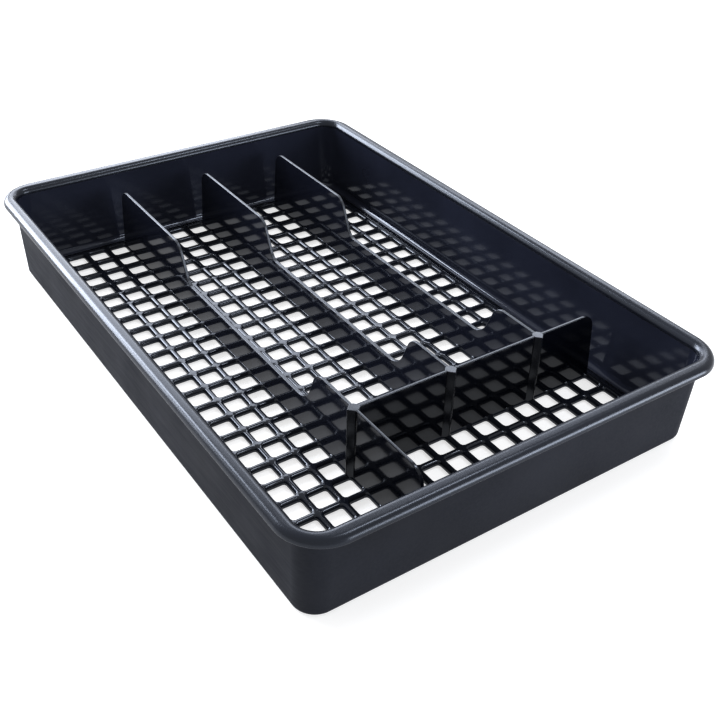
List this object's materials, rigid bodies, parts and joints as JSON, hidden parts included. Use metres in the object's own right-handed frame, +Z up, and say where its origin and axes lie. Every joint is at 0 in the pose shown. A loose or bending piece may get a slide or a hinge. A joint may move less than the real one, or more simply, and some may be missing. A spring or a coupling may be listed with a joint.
{
  "type": "cutlery tray",
  "caption": "Shallow drawer tray with a square-hole grille floor, flat rolled rim, long dividers with a dipped top edge and a cross divider with diamond posts.",
  "frame": {"origin": "middle of the underside, on the surface that the tray stands on", "axes": "+X across the tray to the right, +Y along it from the cross compartment to the far end, +Z up"},
  "size_m": [0.2604, 0.383, 0.0554],
  "materials": {
    "black_plastic": "glossy black, injection moulded"
  },
  "bodies": {
    "root": {"rim": "black_plastic", "wall_left": "black_plastic", "wall_right": "black_plastic", "wall_near": "black_plastic", "wall_far": "black_plastic", "floor_left": "black_plastic", "floor_middle_left": "black_plastic", "floor_middle_right": "black_plastic", "floor_right": "black_plastic", "floor_front": "black_plastic", "divider_left": "black_plastic", "divider_middle": "black_plastic", "divider_right": "black_plastic", "divider_front": "black_plastic", "cross_panel_left": "black_plastic", "cross_panel_middle": "black_plastic", "cross_panel_right": "black_plastic", "post_left": "black_plastic", "post_middle": "black_plastic", "post_right": "black_plastic"}
  },
  "joints": []
}
